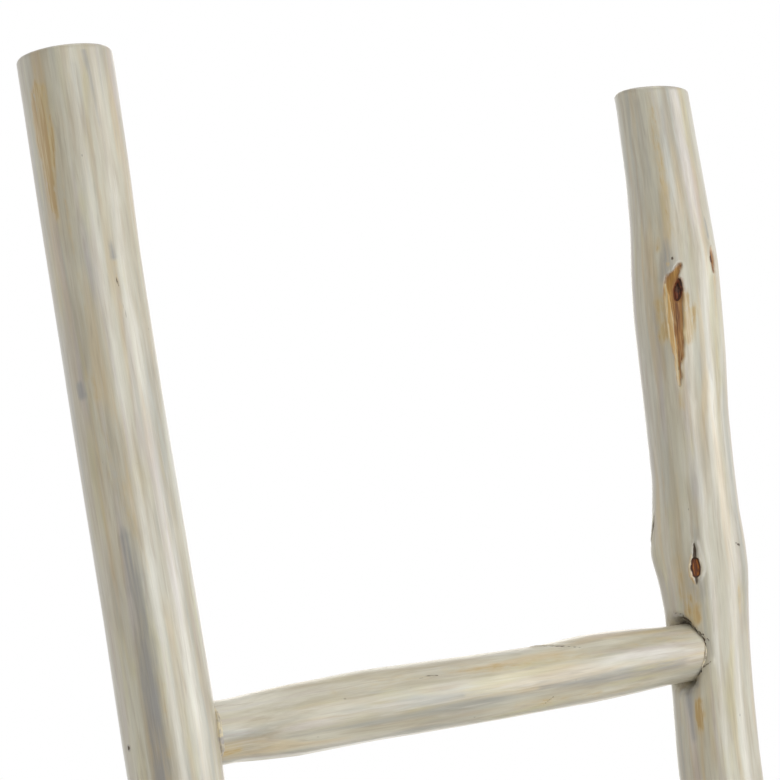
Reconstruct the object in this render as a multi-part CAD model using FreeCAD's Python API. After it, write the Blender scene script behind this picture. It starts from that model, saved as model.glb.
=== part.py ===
import FreeCAD, Part
import math
import os

# A ladder of two natural branch poles with five whittled branch rungs let into them.
# Millimetres. The poles stand along +Z, the rungs lie along X and the front faces -Y.
# Angles round a pole are in degrees from +X, so 180 is the left side and 270 the front.

# Poles
pole_length = 1830.0
right_pole_drop = 29.5
pole_diameter = 58.0
pole_spacing = 430.0
pole_end_round = 3.0
right_top_slope_share = 0.12

# Rungs
rung_count = 5
lowest_rung_height = 210.0
top_rung_height = 1410.0
rung_diameter = 45.0
rung_end_diameter = 39.0
left_straight = 13.0
right_straight = 6.0

# Joints: the whittled round shoulder sits in a shallow seat, and its tenon in a deeper mortise
seat_depth = 9.0
tenon_height = 26.0
tenon_width = 15.0
tenon_length = 24.0
glue_gap = 0.2
tenon_end_gap = 0.8

# Headless cut nails, driven along the rung from the outer side of each pole and set below its
# surface
nail_length = 60.0
nail_breadth = 3.0
nail_tip_breadth = 1.2
nail_set = 0.8
nail_gap = 0.1

# One overrun for every cut that starts outside the wood
cut_overrun = 15.0

# Narrow flats round each section of a pole, as a drawknife leaves them
pole_flats = 32

# Each pole, foot to top: share of the pole's length, then the drift outwards, the drift to the
# front and the girth, all three as shares of the pole diameter
left_pole_shares = (
    (0.000, -0.07, 0.03, 1.07), (0.045, -0.06, 0.03, 1.05), (0.100, -0.02, 0.02, 1.03),
    (0.160, 0.04, -0.02, 1.01), (0.182, 0.06, -0.04, 1.01), (0.195, 0.07, -0.05, 1.01),
    (0.208, 0.08, -0.06, 1.02), (0.260, 0.10, -0.07, 1.03), (0.324, 0.06, -0.04, 1.01),
    (0.340, 0.04, -0.03, 1.01), (0.356, 0.02, -0.02, 1.00), (0.426, -0.05, 0.03, 1.01),
    (0.504, -0.09, 0.07, 1.01), (0.520, -0.09, 0.08, 1.00), (0.536, -0.08, 0.08, 1.00),
    (0.590, -0.02, 0.05, 0.99), (0.641, 0.03, 0.03, 0.99), (0.655, 0.04, 0.02, 0.99),
    (0.669, 0.05, 0.01, 0.99), (0.720, 0.04, 0.00, 0.99), (0.754, 0.01, 0.00, 0.99),
    (0.770, 0.005, 0.00, 1.01), (0.810, 0.005, 0.00, 1.00), (0.875, 0.02, -0.01, 0.99),
    (0.930, 0.02, -0.01, 0.995), (0.960, 0.01, -0.005, 1.02), (1.000, 0.005, 0.00, 1.035),
)
right_pole_shares = (
    (0.000, 0.07, -0.05, 1.06), (0.045, 0.06, -0.05, 1.04), (0.110, 0.01, -0.03, 1.03),
    (0.170, -0.04, 0.00, 1.00), (0.186, -0.06, 0.01, 1.01), (0.200, -0.07, 0.02, 1.01),
    (0.214, -0.08, 0.03, 1.00), (0.250, -0.09, 0.05, 1.00), (0.310, -0.05, 0.08, 1.01),
    (0.369, 0.02, 0.09, 0.99), (0.385, 0.04, 0.08, 0.99), (0.401, 0.05, 0.07, 0.99),
    (0.460, 0.06, 0.04, 1.00), (0.520, 0.01, -0.01, 0.98), (0.546, -0.02, -0.03, 0.97),
    (0.560, -0.04, -0.04, 0.97), (0.574, -0.06, -0.05, 0.97), (0.640, -0.13, -0.08, 0.98),
    (0.689, -0.155, -0.09, 0.97), (0.703, -0.155, -0.09, 0.965), (0.717, -0.15, -0.085, 0.965),
    (0.744, -0.11, -0.06, 0.975), (0.766, -0.055, -0.03, 0.965), (0.783, -0.01, 0.00, 0.97),
    (0.800, 0.045, 0.025, 1.01), (0.812, 0.075, 0.04, 1.015), (0.823, 0.10, 0.055, 1.01),
    (0.834, 0.12, 0.065, 1.005), (0.850, 0.15, 0.08, 1.00), (0.872, 0.195, 0.105, 1.01),
    (0.894, 0.255, 0.14, 1.06), (0.914, 0.30, 0.165, 1.08), (0.930, 0.34, 0.185, 1.055),
    (0.947, 0.385, 0.21, 0.995), (0.966, 0.41, 0.225, 0.94), (1.000, 0.44, 0.24, 0.88),
)

# Swellings where a branch grew: share of the pole's length, angle, spread in degrees, then the
# half length and the height of the swelling as shares of the pole diameter
left_swelling_shares = (
    (0.195, 300.0, 32.0, 0.45, 0.075), (0.340, 95.0, 34.0, 0.50, 0.085),
    (0.520, 215.0, 32.0, 0.48, 0.075), (0.655, 20.0, 32.0, 0.45, 0.060),
)
right_swelling_shares = (
    (0.200, 120.0, 32.0, 0.45, 0.080), (0.385, 250.0, 34.0, 0.48, 0.085),
    (0.560, 60.0, 32.0, 0.45, 0.075), (0.703, 300.0, 30.0, 0.42, 0.060),
    (0.824, 153.0, 34.0, 0.36, 0.125), (0.8165, 300.0, 30.0, 0.30, 0.050),
    (0.8175, 222.0, 26.0, 0.28, 0.030), (0.928, 292.0, 24.0, 0.28, 0.040),
)

# Flat faces left where knots were trimmed off: share of the pole's length, angle, then the depth
# of the cut as a share of the pole diameter
left_trim_shares = (
    (0.195, 300.0, 0.050), (0.340, 95.0, 0.060), (0.520, 215.0, 0.055), (0.655, 20.0, 0.045),
)
right_trim_shares = (
    (0.200, 120.0, 0.055), (0.385, 250.0, 0.060), (0.560, 60.0, 0.050), (0.703, 300.0, 0.045),
    (0.8175, 221.0, 0.022), (0.9140, 231.0, 0.016), (0.9280, 293.0, 0.022),
)

# How far along the pole a trimming cut may reach, as a share of the pole diameter
trim_reach_share = 1.6

# Each kind of rung, left to right: share of the run between the straight ends, then the rise,
# the drift to the front and the girth, all three as shares of the rung diameter
knuckled_rung_shares = (
    (0.060, 0.001, 0.02, 0.945), (0.133, 0.000, 0.04, 1.004), (0.290, 0.019, 0.06, 1.006),
    (0.502, -0.004, 0.05, 0.984), (0.690, -0.008, 0.03, 0.968), (0.790, 0.014, 0.01, 1.004),
    (0.880, 0.015, 0.00, 0.968),
)
bowed_rung_shares = (
    (0.080, 0.010, -0.01, 0.965), (0.200, 0.040, -0.02, 1.000), (0.360, 0.065, -0.02, 0.985),
    (0.520, 0.058, 0.01, 0.980), (0.680, 0.035, 0.03, 1.012), (0.860, 0.010, 0.02, 0.960),
)

# From the lowest rung up: its kind, its turn about its own length in degrees, whether it is
# set the other way round, and how much higher its right end sits, as a share of its diameter
rung_set_shares = (
    (bowed_rung_shares, 200.0, False, -0.06), (knuckled_rung_shares, 110.0, True, 0.05),
    (bowed_rung_shares, 75.0, True, 0.03), (knuckled_rung_shares, 250.0, True, -0.05),
    (knuckled_rung_shares, 0.0, False, 0.09),
)

# How far a section strays from a true circle, as a share of its radius
oval_share = 0.012

# Where a nail starts to taper, as a share of its length
nail_neck_share = 0.1

# A rounded end in two bands: places up its edge and how far each is drawn in, as shares of the
# rounding's radius
end_round_shares = ((1.0, 0.0), (0.293, 0.293), (0.0, 1.0))


def blend(rows, share):
    """The row of a table at a share between two of its rows."""
    for low, high in zip(rows, rows[1:]):
        if share <= high[0]:
            step = (share - low[0]) / (high[0] - low[0])
            return [a + (b - a) * step for a, b in zip(low, high)]
    return list(rows[-1])


class Pole:
    """One natural pole: its side (-1 left, 1 right), length and tables of form."""

    def __init__(self, side, length, form, swellings, trims, top_slope):
        self.side = side
        self.length = length
        self.form = form
        self.swellings = swellings
        self.trims = trims
        self.top_slope = top_slope

    def centre(self, height):
        _, out, fore, _ = blend(self.form, height / self.length)
        x = self.side * (pole_spacing / 2 + out * pole_diameter)
        return FreeCAD.Vector(x, -fore * pole_diameter, height)

    def radius(self, height, angle):
        share = height / self.length
        girth = blend(self.form, share)[3]
        turn = math.radians(angle)
        stray = math.cos(2 * turn + 5 * share) + math.sin(3 * turn - 9 * share) / 2
        radius = pole_diameter / 2 * girth * (1 + oval_share * stray)
        for at, facing, spread, reach, swell in self.swellings:
            along = (share - at) * self.length / (reach * pole_diameter)
            about = ((angle - facing + 180) % 360 - 180) / spread
            radius += swell * pole_diameter * math.exp(-along ** 2 - about ** 2)
        return radius

    def ring(self, height, inset, slope):
        """The pole's section at a height, drawn in by an inset and tilted by a slope."""
        middle = self.centre(height)
        points = []
        for number in range(pole_flats):
            angle = 360.0 * number / pole_flats
            reach = self.radius(height, angle) - inset
            across = reach * math.cos(math.radians(angle))
            depth = reach * math.sin(math.radians(angle))
            lift = -slope * (self.side * across - depth) / math.sqrt(2)
            points.append(middle + FreeCAD.Vector(across, depth, lift))
        return Part.makePolygon(points + points[:1])


left_pole = Pole(-1, pole_length, left_pole_shares, left_swelling_shares, left_trim_shares, 0)
right_pole = Pole(1, pole_length - right_pole_drop, right_pole_shares, right_swelling_shares,
                  right_trim_shares, right_top_slope_share)


def pole_blank(pole):
    """The pole before anything is cut into it: a loft through its sections, with rounded ends."""
    foot = [pole.ring(up * pole_end_round, inset * pole_end_round, 0)
            for up, inset in end_round_shares[::-1]]
    trunk = [pole.ring(row[0] * pole.length, 0, 0) for row in pole.form[1:-1]]
    top = [pole.ring(pole.length - up * pole_end_round, inset * pole_end_round, pole.top_slope)
           for up, inset in end_round_shares]
    return Part.makeLoft(foot + trunk + top, True, True)


def trim(pole, row):
    """The block that a trimming cut takes off a knot."""
    at, angle, depth = row
    height = at * pole.length
    turn = math.radians(angle)
    outwards = FreeCAD.Vector(math.cos(turn), math.sin(turn), 0)
    half = trim_reach_share * pole_diameter / 2
    block = Part.makeBox(2 * half, 2 * half, cut_overrun, FreeCAD.Vector(-half, -half, 0))
    start = pole.centre(height) + outwards * (pole.radius(height, angle) - depth * pole_diameter)
    block.Placement = FreeCAD.Placement(start, FreeCAD.Rotation(FreeCAD.Vector(0, 0, 1), outwards))
    return block


class Rung:
    """One rung in its own frame: its length lies along X from the left pole's axis."""

    def __init__(self, number):
        self.form, self.turn, self.flipped, rise = rung_set_shares[number % len(rung_set_shares)]
        share = number / max(rung_count - 1, 1)
        height = lowest_rung_height + (top_rung_height - lowest_rung_height) * share
        half_rise = rise * rung_diameter / 2
        self.start = left_pole.centre(height - half_rise)
        self.end = right_pole.centre(height + half_rise)
        self.span = (self.end - self.start).Length
        self.left_crest = left_pole.radius(self.start.z, 0)
        self.right_crest = right_pole.radius(self.end.z, 180)
        self.left_back = left_pole.radius(self.start.z, 180)
        self.right_back = right_pole.radius(self.end.z, 0)
        self.left_seat = self.left_crest - seat_depth
        self.right_seat = self.right_crest - seat_depth

    def place(self, shape):
        """Set a shape from the rung's own frame into the ladder."""
        turn = FreeCAD.Rotation(FreeCAD.Vector(1, 0, 0), self.end - self.start)
        shape.Placement = FreeCAD.Placement(self.start, turn)
        return shape

    def rod(self, radius, low, high):
        """A round rod along the rung's axis, from one place on it to another."""
        return Part.makeCylinder(radius, high - low, FreeCAD.Vector(low, 0, 0),
                                 FreeCAD.Vector(1, 0, 0))

    def ring(self, along, rise, fore, radius):
        """The rung's round section at a place along it."""
        turn = math.radians(self.turn)
        up = rise * math.cos(turn) - fore * math.sin(turn)
        front = rise * math.sin(turn) + fore * math.cos(turn)
        outline = Part.Circle(FreeCAD.Vector(along, -front, up), FreeCAD.Vector(1, 0, 0), radius)
        return Part.Wire([outline.toShape()])

    def body(self):
        """The rung between its two shoulders: a loft with a straight round run at each end."""
        low = self.left_crest + left_straight
        high = self.span - self.right_crest - right_straight
        rows = self.form
        if self.flipped:
            rows = [(1 - row[0],) + row[1:] for row in rows[::-1]]
        end = rung_end_diameter / 2
        rings = [self.ring(self.left_seat, 0, 0, end), self.ring(low, 0, 0, end)]
        rings += [self.ring(low + (high - low) * at, rise * rung_diameter, fore * rung_diameter,
                            girth * rung_diameter / 2) for at, rise, fore, girth in rows]
        rings += [self.ring(high, 0, 0, end), self.ring(self.span - self.right_seat, 0, 0, end)]
        return Part.makeLoft(rings, True, True)

    def tenon(self, low, high, gap):
        """The tenon between two places on the rung, or with a gap the mortise for it."""
        width = tenon_width + 2 * gap
        height = tenon_height + 2 * gap
        corner = FreeCAD.Vector(low, -width / 2, -height / 2)
        return Part.makeBox(high - low, width, height, corner)

    def nail(self, surface, inward, gap):
        """The nail driven from a place on the surface, or with a gap its hole; inward is 1 or -1.

        It keeps its height from head to tip and tapers in width only.
        """
        start = surface + inward * (nail_set - (cut_overrun if gap else 0))
        neck = surface + inward * (nail_set + nail_length * nail_neck_share)
        tip = surface + inward * (nail_set + nail_length + gap)
        breadth = nail_breadth / 2 + gap
        thin = nail_tip_breadth / 2 + gap
        sections = []
        for x, half in ((start, breadth), (neck, breadth), (tip, thin)):
            corners = [FreeCAD.Vector(x, y, z) for y, z in (
                (-half, -breadth), (half, -breadth), (half, breadth), (-half, breadth))]
            sections.append(Part.makePolygon(corners + corners[:1]))
        return Part.makeLoft(sections, True, True)

    def nails(self, gap):
        """The nails at both ends, or with a gap their holes."""
        return [self.nail(-self.left_back, 1, gap), self.nail(self.span + self.right_back, -1, gap)]

    def left_joint(self):
        """What the left pole loses to this rung: the seat, the mortise and the nail's hole."""
        seat = self.rod(rung_end_diameter / 2 + glue_gap, self.left_seat,
                        self.left_crest + cut_overrun)
        mortise = self.tenon(self.left_seat - tenon_length - tenon_end_gap, self.left_seat,
                             glue_gap)
        return [self.place(tool) for tool in (seat, mortise, self.nails(nail_gap)[0])]

    def right_joint(self):
        """What the right pole loses to this rung."""
        shoulder = self.span - self.right_seat
        seat = self.rod(rung_end_diameter / 2 + glue_gap,
                        self.span - self.right_crest - cut_overrun, shoulder)
        mortise = self.tenon(shoulder, shoulder + tenon_length + tenon_end_gap, glue_gap)
        return [self.place(tool) for tool in (seat, mortise, self.nails(nail_gap)[1])]

    def solid(self):
        """The finished rung: its body, a tenon at each end and the holes of its nails."""
        shoulder = self.span - self.right_seat
        tenons = [self.tenon(self.left_seat - tenon_length, self.left_seat, 0),
                  self.tenon(shoulder, shoulder + tenon_length, 0)]
        return self.place(self.body().fuse(tenons).cut(self.nails(nail_gap)))


def pole_solid(pole, joints):
    """A pole with its trimmed knots, and the seats, mortises and nail holes of its rungs."""
    return pole_blank(pole).cut([trim(pole, row) for row in pole.trims]).cut(joints)


def model():
    """Every piece of the ladder by name."""
    rungs = [Rung(number) for number in range(rung_count)]
    pieces = {
        "left_pole": pole_solid(left_pole, [tool for rung in rungs for tool in rung.left_joint()]),
        "right_pole": pole_solid(right_pole, [tool for rung in rungs for tool in rung.right_joint()]),
    }
    for number, rung in enumerate(rungs):
        pieces["rung_%d" % (number + 1)] = rung.solid()
    nails = [rung.place(nail) for rung in rungs for nail in rung.nails(0)]
    pieces["rung_nails"] = Part.makeCompound(nails)
    return pieces


def main():
    pieces = model()
    # The exact box: without triangles and without slack
    box = Part.makeCompound(list(pieces.values())).optimalBoundingBox(False, False)
    to_origin = FreeCAD.Vector(-box.Center.x, -box.Center.y, 0)
    os.makedirs("parts", exist_ok=True)
    for name, shape in pieces.items():
        shape.translate(to_origin)
        shape.exportStep("parts/%s.step" % name)
        print(name, "solids", len(shape.Solids), "valid", shape.isValid(),
              "volume", round(shape.Volume))
    print("shift to origin", to_origin)


main()
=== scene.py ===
"""A decorative ladder: two stripped, whitewashed teak branches joined by five whittled rungs."""
import math
from dataclasses import dataclass, replace

import bpy
import numpy as np
from mathutils import Matrix, Vector
from mathutils.bvhtree import BVHTree


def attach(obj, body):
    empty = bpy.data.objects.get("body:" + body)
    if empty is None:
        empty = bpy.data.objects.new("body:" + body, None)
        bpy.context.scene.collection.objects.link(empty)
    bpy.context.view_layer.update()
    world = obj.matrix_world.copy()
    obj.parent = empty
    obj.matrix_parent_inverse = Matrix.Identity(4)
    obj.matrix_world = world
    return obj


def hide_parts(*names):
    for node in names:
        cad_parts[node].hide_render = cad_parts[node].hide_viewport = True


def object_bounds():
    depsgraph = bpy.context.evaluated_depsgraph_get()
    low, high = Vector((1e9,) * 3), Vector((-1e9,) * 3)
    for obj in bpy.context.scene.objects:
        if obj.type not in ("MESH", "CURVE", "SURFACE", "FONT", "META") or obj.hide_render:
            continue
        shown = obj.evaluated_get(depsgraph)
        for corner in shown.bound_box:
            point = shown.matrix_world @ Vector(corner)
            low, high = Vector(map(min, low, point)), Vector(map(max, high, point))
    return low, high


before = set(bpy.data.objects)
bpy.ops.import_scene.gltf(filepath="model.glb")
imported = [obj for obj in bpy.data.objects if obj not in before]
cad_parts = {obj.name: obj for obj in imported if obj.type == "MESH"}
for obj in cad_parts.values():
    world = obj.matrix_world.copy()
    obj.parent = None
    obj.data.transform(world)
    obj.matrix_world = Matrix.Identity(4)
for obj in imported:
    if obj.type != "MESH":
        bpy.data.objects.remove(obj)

cad_box = [list(corner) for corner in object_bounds()]

# Lengths in this script are millimetres until a mesh is made
MM = 0.001
RUNGS = ("rung_1", "rung_2", "rung_3", "rung_4", "rung_5")
TOP_RUNG = 4
# Where no mark, joint or nail is near, its distance is stored as this
FAR = 60.0
# Folds sharper than this stay creased
CREASE = math.radians(42)


# Smooth random fields

def noise(places, seed):
    """Smooth random values from -1 to 1 at an array of places, one cell to the unit."""
    cells = np.floor(places).astype(np.int64)
    inside = places - cells
    ease = inside * inside * (3 - 2 * inside)
    total = np.zeros(places.shape[:-1])
    for corner in np.ndindex(2, 2, 2):
        x, y, z = np.moveaxis(cells + np.array(corner), -1, 0)
        # Products with large odd numbers scatter neighbouring cells
        mixed = (x * 73856093) ^ (y * 19349663) ^ (z * 83492791) ^ (seed * 40503)
        mixed = (mixed ^ (mixed >> 13)) * 1274126177
        mixed = ((mixed ^ (mixed >> 16)) & 0xFFFF) / 32767.5 - 1
        total += mixed * np.prod(np.where(np.array(corner), ease, 1 - ease), axis=-1)
    return total


def around(angles, places, turns, length, seed):
    """Noise on a round branch: so many cells round it and one to a length along it."""
    ring = turns / (2 * math.pi)
    spots = np.broadcast_arrays(np.cos(angles) * ring, np.sin(angles) * ring, places / length)
    return noise(np.stack(spots, axis=-1) + 100, seed)


def smooth(value, low, high):
    """0 below low, 1 above high, and a soft step between; low may be the higher one."""
    share = np.clip((value - low) / (high - low), 0, 1)
    return share * share * (3 - 2 * share)


def wrap(angles):
    """Angles brought to between minus and plus half a turn."""
    return (angles + math.pi) % (2 * math.pi) - math.pi


def facing(turns, degrees, start, full):
    """1 within full radians of an angle, falling to 0 at start radians from it."""
    return smooth(np.abs(wrap(turns - math.radians(degrees))), start, full)


def bell(count):
    """Weights of a bell curve that add up to 1."""
    weights = np.exp(-np.linspace(-2, 2, count) ** 2)
    return weights / weights.sum()


def softened(rows, near):
    """Rows of values averaged with so many rows on either side."""
    padded = np.pad(rows, ((near, near), (0, 0)), "reflect", reflect_type="odd")
    return sum(w * padded[k:k + len(rows)] for k, w in enumerate(bell(2 * near + 1)))


# The solids of the frame, measured by rays from outside

def corners(mesh):
    """A mesh's corners in mm."""
    flat = np.empty(len(mesh.vertices) * 3, np.float32)
    mesh.vertices.foreach_get("co", flat)
    return flat.reshape(-1, 3).astype(float) / MM


def shell(mesh):
    mesh.calc_loop_triangles()
    faces = [tuple(triangle.vertices) for triangle in mesh.loop_triangles]
    return BVHTree.FromPolygons([tuple(place) for place in corners(mesh)], faces)


def reach(tree, place, outward, far=100.0):
    """How far a solid reaches outward from a place inside it."""
    gap = tree.ray_cast(Vector(place) + far * Vector(outward), -Vector(outward))[3]
    return np.nan if gap is None else far - gap


class Axis:
    """A rung's axis from tenon end to tenon end, with its shoulders and the tenons' section."""

    def __init__(self, node):
        points = corners(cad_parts[node].data)
        x = points[:, 0]
        left, right = points[x < x.min() + 0.8], points[x > x.max() - 0.8]
        self.start, self.end = ((face.min(0) + face.max(0)) / 2 for face in (left, right))
        self.length = np.linalg.norm(self.end - self.start)
        self.along = (self.end - self.start) / self.length
        across = np.cross((0, 0, 1), self.along)
        self.across = across / np.linalg.norm(across)
        self.up = np.cross(self.along, self.across)
        _, self.half_width, self.half_height = (left.max(0) - left.min(0)) / 2
        places, away, _ = self.seen(points)
        round_part = places[away > self.half_height + 4]
        self.shoulders = round_part.min(), round_part.max()
        self.shoulder_radius = away[places < self.shoulders[0] + 1].max()

    def seen(self, points):
        """Each point's place along the axis, its distance from it and its angle round it."""
        apart = points - self.start
        side, rise = apart @ self.across, apart @ self.up
        return apart @ self.along, np.hypot(side, rise), np.arctan2(rise, side)

    def point(self, places, angles, radii):
        out = np.cos(angles)[..., None] * self.across + np.sin(angles)[..., None] * self.up
        return self.start + np.asarray(places)[..., None] * self.along + radii[..., None] * out


axes = [Axis(node) for node in RUNGS]
top = (axes[TOP_RUNG].start[2] + axes[TOP_RUNG].end[2]) / 2


class Form:
    """A branch's radius by place along it and angle round it, on a regular grid."""

    step, turns = 4.0, 72

    def __init__(self, low, high):
        self.low = low
        self.count = int((high - low) / self.step) + 1
        self.places = low + self.step * np.arange(self.count)
        self.angles = np.arange(self.turns) * 2 * math.pi / self.turns

    def survey(self, tree, frame_of, hidden):
        """Measure the solid, fill what the joints cut away and soften the flats of the solid."""
        self.grid = np.full((self.count, self.turns), np.nan)
        for row, place in enumerate(self.places):
            middle, across, up = frame_of(place)
            for column, angle in enumerate(self.angles):
                out = math.cos(angle) * across + math.sin(angle) * up
                radius = reach(tree, middle, out)
                if not hidden(middle + radius * out):
                    self.grid[row, column] = radius
        for column in self.grid.T:
            good = ~np.isnan(column)
            column[~good] = np.interp(self.places[~good], self.places[good], column[good])
        self.grid = softened(self.grid, 3)
        self.grid = sum(w * np.roll(self.grid, k - 3, axis=1) for k, w in enumerate(bell(7)))

    def radius(self, places, angles):
        row = np.clip((places - self.low) / self.step, 0, self.count - 1.001)
        column = (angles % (2 * math.pi)) / (2 * math.pi) * self.turns
        i, j = row.astype(int), column.astype(int) % self.turns
        u, v = row - i, column - column.astype(int)
        k = (j + 1) % self.turns
        grid = self.grid
        return ((1 - u) * ((1 - v) * grid[i, j] + v * grid[i, k])
                + u * ((1 - v) * grid[i + 1, j] + v * grid[i + 1, k]))


# Shapes shared by poles and rungs

def stations(start, end, coarse, fine_places):
    """Places from start to end, closer together round each fine place (place, reach, gap)."""
    found = [start]
    while found[-1] < end:
        gap = coarse
        for place, reach_here, fine in fine_places:
            gap = min(gap, fine + 0.16 * max(0.0, abs(found[-1] - place) - reach_here))
        found.append(found[-1] + gap)
    found = np.array(found)
    return start + (found - start) * (end - start) / (found[-1] - start)


def linked(name, data):
    """A new object in the scene."""
    made = bpy.data.objects.new(name, data)
    bpy.context.scene.collection.objects.link(made)
    return made


def new_mesh(name, points, faces):
    mesh = bpy.data.meshes.new(name)
    mesh.from_pydata(points, [], faces)
    return mesh


def plain_mesh(piece):
    """A piece's mesh with its modifiers worked in."""
    bpy.context.view_layer.update()
    return bpy.data.meshes.new_from_object(piece.evaluated_get(bpy.context.evaluated_depsgraph_get()))


def closed(rings, name):
    """A closed mesh through rings of points, whose two ends close on their middles."""
    count, sides = rings.shape[:2]
    points = np.concatenate([rings.reshape(-1, 3), rings[:1].mean(1), rings[-1:].mean(1)])
    pairs = [(j, (j + 1) % sides) for j in range(sides)]
    last, middle = (count - 1) * sides, count * sides
    faces = [(row + j, row + k, row + k + sides, row + j + sides)
             for row in range(0, last, sides) for j, k in pairs]
    faces += [(middle, k, j) for j, k in pairs] + [(middle + 1, last + j, last + k) for j, k in pairs]
    return linked(name, new_mesh(name, (points * MM).tolist(), faces))


def held(points):
    """Points kept within the frame's box on every side but the floor, with a soft turn near it."""
    low, high = np.array(cad_box) / MM
    softness = 0.36
    def eased(gap):
        return (gap + np.sqrt(gap * gap + softness)) / 2
    points = high - eased(high - points)
    return np.where(np.arange(3) < 2, low + eased(points - low), points)


def carve(piece, tools):
    """Cut tools out of a piece, all in one step."""
    points, faces = [], []
    for tool in tools:
        start = len(points)
        points += [tuple(vertex.co) for vertex in tool.data.vertices]
        faces += [[start + corner for corner in face.vertices] for face in tool.data.polygons]
        bpy.data.objects.remove(tool)
    cutter = linked("cuts", new_mesh("cuts", points, faces))
    cut = piece.modifiers.new("seats", "BOOLEAN")
    cut.operation, cut.solver, cut.object = "DIFFERENCE", "EXACT", cutter
    mesh = plain_mesh(piece)
    piece.modifiers.clear()
    piece.data = mesh
    bpy.data.objects.remove(cutter)


def bumps(radius, places, angles, seed, sizes, share=1.0):
    """Add noise of several sizes to a radius, each (height, cells round the branch, length)."""
    for number, (height, turns, length) in enumerate(sizes, 1):
        radius += height * share * around(angles, places, turns, length, seed + number)


def sink(radius, gap, mark, wall, lip, lip_width):
    """Cut a mark into a radius, with a wall so wide and its lip at a distance round it."""
    radius -= mark.depth * smooth(gap, 0.5, -wall)
    radius += mark.lip * np.exp(-((gap - lip) / lip_width) ** 2) * (gap > -1)


def shaved(angles, places, flats, seed):
    """The share of the radius left by long flats, each (angle in degrees, depth as a share)."""
    left = np.ones(places.shape)
    for number, (side, depth) in enumerate(flats):
        drift = around(0, places, 1, 150, seed + number)
        swell = around(1, places, 1, 110, seed + 50 + number)
        deep = np.clip(depth * (1 + 0.7 * swell), 0, 1)
        apart = wrap(angles - math.radians(side) - 0.12 * drift)
        flat = np.where(np.abs(apart) < 1.2, (1 - deep) / np.maximum(np.cos(apart), 0.3), 2)
        left = np.minimum(left, flat)
    return left


def put(mesh, **fields):
    """Store what the finish reads: a number or a vector for each corner, by name."""
    for name, values in fields.items():
        values = np.ascontiguousarray(values, np.float32)
        kind, key = ("FLOAT", "value") if values.ndim == 1 else ("FLOAT_VECTOR", "vector")
        mesh.attributes.new(name, kind, "POINT").data.foreach_set(key, values.ravel())


# Marks of the grown wood

@dataclass
class Mark:
    """A scar, dead knot, pit, slit, ridge or stain along a course of (place in mm along the piece,
    angle in degrees, half width)."""

    kind: str
    course: list
    depth: float = 0.0
    lip: float = 0.0
    ragged: float = 0.5
    strength: float = 1.0
    soft: float = 4.0

    def gap(self, places, angles, radius):
        """Distance to the mark's edge, negative inside it."""
        best = np.full(places.shape, FAR)
        stops = [stop[0] for stop in self.course]
        near = (places > min(stops) - FAR) & (places < max(stops) + FAR)
        p, a, r = places[near], angles[near], radius[near]
        found = best[near]
        for (p0, a0, w0), (p1, a1, w1) in zip(self.course, self.course[1:]):
            side = wrap(a - math.radians(a0)) * r
            run, turn = p1 - p0, wrap(math.radians(a1 - a0)) * r
            share = np.clip(((p - p0) * run + side * turn) / (run * run + turn * turn + 1e-6), 0, 1)
            away = np.hypot(p - p0 - share * run, side - share * turn) - w0 - (w1 - w0) * share
            found = np.minimum(found, away)
        wobble = around(a, p, 60, 7.0, 7) + 0.6 * around(a, p, 130, 3.0, 8)
        best[near] = found + self.ragged * wobble * (found < 15)
        return best


def marks_of(**kinds):
    """Marks by kind. A row has (depth, lip, raggedness) of a cut or (strength, softness) of a
    stain, and then the course."""
    made = []
    for kind, rows in kinds.items():
        for sizes, *course in rows:
            keys = ("depth", "lip", "ragged") if len(sizes) == 3 else ("strength", "soft")
            made.append(Mark(kind, course, **dict(zip(keys, sizes))))
    return made


def placed(marks, place, angle=0, size=1):
    """Marks moved to a place and angle of a piece, and scaled."""
    return [replace(mark, course=[(place + rise * size, angle + turn * size, half * size)
                                  for rise, turn, half in mark.course]) for mark in marks]


# A closed knot as on the burl: a slit running into an oval dead knot with a pale lip
knot = marks_of(
    heart=[((1.7, 0.7, 0.35), (4, 0.3, 2.5), (0, 0, 3.2), (-4.4, -0.4, 2.4))],
    slit=[((1.6, 0.5, 0.3), (16, 2, 0.2), (11, 1.7, 0.8), (6.5, 1, 1)),
          ((1, 0.3, 0.2), (-6.5, -0.7, 0.9), (-11.5, -1, 0.2))],
    ridge=[((-0.4, 0, 0.3), (9, -3.4, 0.1), (2, -7.2, 0.6), (-5, -7.6, 1), (-11, -3.8, 0.2))],
    grey=[((0.4, 8), (24, 8, 4), (-18, 9, 5))],
    ochre=[((0.5, 7), (-16, -6, 3.5), (-26, -7, 2))])

# A long trimmed knot: a dark pit over bared wood with a raised ridge down its left side
scar = marks_of(
    scar=[((1.2, 0.1, 1.1), (16.5, 10.5, 1.6), (12, 6, 2.8), (8, -1, 4.6), (2, -2, 5.8),
           (-8, -1.2, 6.2), (-26, -0.5, 5.2), (-46, -1.5, 2.8), (-64, -3, 0.2))],
    # The ridge is painted pale, partly as bared wood and partly as a painted highlight on its raised edge
    ridge=[((-0.9, 0, 0.8), (6, -10, 0.3), (-4, -9.4, 1.8), (-16, -8.2, 2.3), (-32, -6.2, 2),
            (-50, -4, 1.1), (-64, -3.2, 0.1))],
    pit=[((3.6, 0, 0.5), (6.5, 8, 1.9), (1, 5.6, 3.5), (-5, 3.6, 2.2))],
    # The slit's dark paint is partly painted shade in the valley beside the ridge
    slit=[((0.9, 0, 0.7), (-8, -2, 0.3), (-30, -1.2, 0.5), (-54, -1.8, 0.1))],
    tan=[((0.9, 4), (14, 6, 2), (6, -4, 3.2), (-12, -7, 2))],
    ochre=[((1.15, 8), (-6, 14, 4.6), (-17, 15, 7), (-32, 11, 5)),
           ((0.55, 6), (-28, 6.5, 2.6), (-52, 2, 2.2), (-80, -3, 1.5)),
           ((0.75, 9), (-6, -19, 4.5), (-28, -17, 6))],
    grey=[((0.55, 7), (36, -5, 1.5), (26, -4, 5), (18, -5, 6.5), (10, -14, 3))])

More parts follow.
